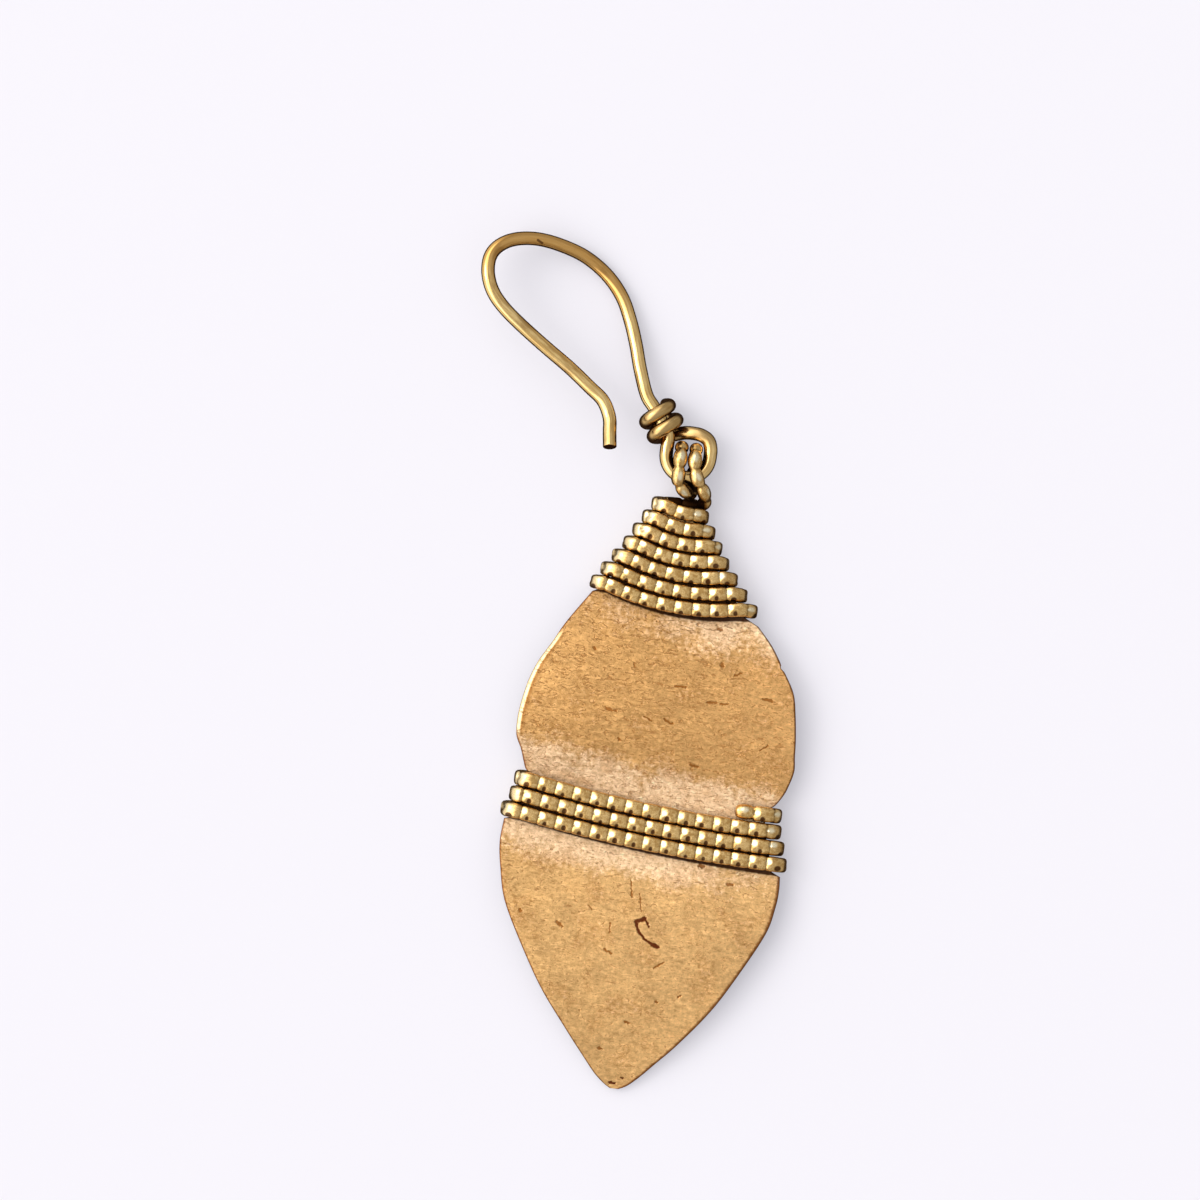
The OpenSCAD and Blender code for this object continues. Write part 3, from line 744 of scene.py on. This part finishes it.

# The ear hook. It is one plain round brass wire: the open hook, the shank, a round eye through the
# two loops, and two close turns back round the shank. Its sides and its top arc carry painted shade.
hook_d = 1.02
coil_turns = 2
coil_pitch = 1.21
eye_r = 1.645
hook_route = np.array([
    [-6.21, 4.03, 3.45],
    [-6.36, 5.12, 3.02],
    [-6.51, 6.21, 2.59],
    [-7.14, 7.4, 2.42],
    [-8.22, 8.24, 2.42],
    [-9.88, 9.48, 2.55],
    [-11.92, 10.82, 2.75],
    [-13.88, 12.17, 2.98],
    [-15.33, 13.31, 3.18],
    [-16.29, 14.42, 3.3],
    [-16.8, 15.74, 3.22],
    [-16.78, 17, 2.95],
    [-16.19, 17.9, 2.6],
    [-15.08, 18.53, 2.15],
    [-13.47, 18.78, 1.65],
    [-11.64, 18.56, 1.15],
    [-9.76, 17.97, 0.75],
    [-8.03, 16.85, 0.54],
    [-6.71, 15.36, 0.56],
    [-5.86, 13.64, 0.75],
    [-5.22, 11.9, 1.02],
    [-4.71, 10.21, 1.28],
    [-3.97, 8.26, 1.52],
    [-3.3, 7.42, 1.58],
    [-2.64, 6.48, 1.59],
    [-2.24, 5.92, 1.59],
    [-1.95, 5.32, 1.6],
    [-1.97, 4.7, 1.64]])
eye_at = np.array([-0.33, 4.15, 1.65])
eye_route = np.array([
    [1.31, 4.85, 1.65],
    [1.08, 5.5, 1.64],
    [0.45, 5.83, 1.59],
    [-0.3, 5.88, 1.45],
    [-0.85, 5.84, 1.11]])
coil_at = np.array([-2.29, 5.99, 1.59])
coil_dir = np.array([-0.576, 0.818, 0])
coil_side = np.array([0.818, 0.576, 0])
coil_r = hook_d + 0.06
coil_sway = 0.8
coil_start, coil_tail, coil_mid = 50, 40, 270
up = np.array([0, 0, 1])

hook_step = 6
shank = curve_through(hook_route, points_a_row)
a = np.radians(np.arange(182, 361, hook_step))[:, None]
eye = eye_at + eye_r * np.hstack([np.cos(a), np.sin(a), 0 * a])
a = np.radians(np.arange(coil_start, 360 * coil_turns + coil_tail + 1, hook_step))[:, None]
turned = a - math.radians(coil_mid) - coil_sway * np.cos(a)
inward = coil_side * np.cos(a) - up * np.sin(a)
coil = coil_at + coil_dir * coil_pitch * turned / (2 * math.pi) + coil_r * inward
before_coil = np.vstack([shank, eye, eye_route])
hook_line = np.vstack([before_coil, coil])
hook_away = np.vstack([np.broadcast_to(up, before_coil.shape), -inward])
hook_ring, hook_sides = 0.09, 32
p, away = drawn_out(hook_line, hook_away, hook_ring)
radii = np.full((len(p), 1), hook_d / 2)
cut = [(0.004, 1.0), (0.03, 0.94), (0.045, 0.86), (0.05, 0.5), (0.054, 0.03)]
p, away, radii = cut_ends(p, away, radii, cut)
rings, turned, straight = skin_of(p, away, radii, hook_sides)
run = straight[..., 0]
arc_start, arc_end, coil_from = 15.5, 32.5, run.max() - 17
hook = mesh_of("hook_wire", at_home(rings), {
    "side": np.abs((rings - p[:, None])[..., 2] / (hook_d / 2)),
    "cut": np.broadcast_to(radii < hook_d / 2 * 0.9, turned.shape).astype(float),
    "arc": step_up(arc_start, arc_start + 3, run) * step_up(arc_end, arc_end - 3, run),
    "coil": step_up(coil_from, coil_from + 1, run),
    "straight": straight})

hook_brass = bpy.data.materials.new("hook_brass")
hook_brass.use_nodes = True
tree = hook_brass.node_tree
place = read(tree, "straight")["Vector"]
grain = placed(tree, grain_group, {"Place": place, "Stretch": (0.1, 1.4, 1.4), "Fineness": 2.8})
on_coil = carried(tree, "coil")
rubbed_brass, clean_brass = srgb(218, 176, 106), srgb(254, 222, 156)
arc_shade_brass, coil_brass, stain_brown = srgb(202, 148, 74), srgb(178, 146, 96), srgb(148, 102, 46)
side_shade_brown, dent_brown, cut_brown = srgb(112, 62, 16), srgb(84, 44, 16), srgb(104, 46, 24)
colour = blended(tree, ramped(tree, grain["Hairs"], 0.36, 0.64), rubbed_brass, clean_brass)
# Painted shade on the top arc
colour = painted(tree, colour, carried(tree, "arc"), 0.7, arc_shade_brass)
colour = painted(tree, colour, on_coil, 0.75, coil_brass)
stain = noise_at(tree, vector_sum(tree, "MULTIPLY", place, (0.4, 1.2, 1.2))[0], 1.1, 4.0)[0]
colour = painted(tree, colour, ramped(tree, stain, 0.5, 0.68), 0.5, stain_brown)
# Painted shade darkens the sides of the wire
side_shade = on_top(tree, swing(tree, grain["Mottle"]), 0.25, carried(tree, "side"))
colour = painted(tree, colour, ramped(tree, side_shade, 0.62, 0.3), 0.85, side_shade_brown)
dent = placed(tree, stroke_group, {"Place": place, "From": (22.2, 0.48, -0.12), "To": (22.6, 0.42, -0.28),
                                   "Half Width": 0.1})["Mask"]
colour = painted(tree, colour, dent, 0.8, dent_brown)
colour = painted(tree, colour, carried(tree, "cut"), 0.9, cut_brown)
relief = maths(tree, "SUBTRACT", grain["Height"], dent)
rough = on_top(tree, grain["Hairs"], 0.16, on_top(tree, on_coil, 0.1, 0.07))
bare_metal(tree, colour, rough, relief, 0.15, 0.02)
hook.data.materials.append(hook_brass)
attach(hook, "root")
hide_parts("ear_hook")

# The table, the light and the camera: a plain pale sheet, a pale room with a bright band of sky
# high up at the left, one small soft window light, and a camera that looks straight down.
table_mesh = bpy.data.meshes.new("table")
table_half = 0.6
table_mesh.from_pydata([(-table_half, -table_half, 0), (table_half, -table_half, 0),
                        (table_half, table_half, 0), (-table_half, table_half, 0)], [], [(0, 1, 2, 3)])
table = bpy.data.objects.new("table", table_mesh)
bpy.context.scene.collection.objects.link(table)
paper = bpy.data.materials.new("paper")
paper.use_nodes = True
for socket, value in (("Base Color", (0.463, 0.446, 0.462, 1)), ("Roughness", 0.9),
                      ("Specular IOR Level", 0.0), ("Emission Color", (0.359, 0.362, 0.404, 1)),
                      ("Emission Strength", 1.0)):
    paper.node_tree.nodes["Principled BSDF"].inputs[socket].default_value = value
table.data.materials.append(paper)
table.visible_glossy = False

world = bpy.data.worlds.new("studio")
bpy.context.scene.world = world
world.use_nodes = True
tree = world.node_tree
picture_right = Vector((LEAN_COS, LEAN_SIN, 0))
picture_up = Vector((-LEAN_SIN, LEAN_COS, 0))
middle_across, middle_down = from_pixel(*PICTURE_MIDDLE)
centre = Vector(at_home(np.array([middle_across, -middle_down, middle[2]])))
sky = add(tree, "ShaderNodeTexCoord").outputs["Generated"]
height = add(tree, "ShaderNodeSeparateXYZ", {0: sky}).outputs["Z"]
to_window = vector_sum(tree, "DOT_PRODUCT", sky, tuple(picture_up * 0.3 - picture_right * 0.95))["Value"]
far_wall, near_wall = (0.50, 0.48, 0.46, 1), (1.1, 1.08, 1.06, 1)
ceiling, bright_sky, floor_dark = (0.66, 0.655, 0.66, 1), (2.7, 2.67, 2.64, 1), (0.06, 0.04, 0.025, 1)
ring = blended(tree, ramped(tree, to_window, 0.1, 0.6), far_wall, near_wall)
ring = blended(tree, ramped(tree, height, 0.80, 0.45), ceiling, ring)
panes = times(tree, ramped(tree, to_window, 0.15, 0.42), ramped(tree, height, 0.25, 0.5))
ring = blended(tree, panes, ring, bright_sky)
ring = blended(tree, ramped(tree, height, -0.18, -0.55), ring, floor_dark)
tree.links.new(ring, tree.nodes["Background"].inputs["Color"])


def soft_light(name, right, above, height, size, power):
    """A square area light over the picture's plane, turned to face its middle."""
    data = bpy.data.lights.new(name, "AREA")
    data.size = size
    data.energy = power
    light = bpy.data.objects.new(name, data)
    place = centre + picture_right * right + picture_up * above + Vector((0, 0, height))
    light.location = place
    light.rotation_euler = (centre - place).to_track_quat("-Z", "Y").to_euler()
    bpy.context.scene.collection.objects.link(light)
    return light


soft_light("window", right=-0.65, above=0.25, height=0.60, size=0.33, power=1.4)

camera_data = bpy.data.cameras.new("camera")
picture_width = 2 * PICTURE_MIDDLE[0] * PIXEL
camera_data.sensor_width = 36
camera_data.lens = camera_data.sensor_width * camera_height / picture_width
camera = bpy.data.objects.new("camera", camera_data)
turn = Matrix((picture_right, picture_up, (0, 0, 1))).transposed().to_4x4()
camera.matrix_world = Matrix.Translation(centre + Vector((0, 0, camera_height * MM))) @ turn
bpy.context.scene.collection.objects.link(camera)
bpy.context.scene.camera = camera
bpy.context.scene.view_settings.view_transform = "Standard"
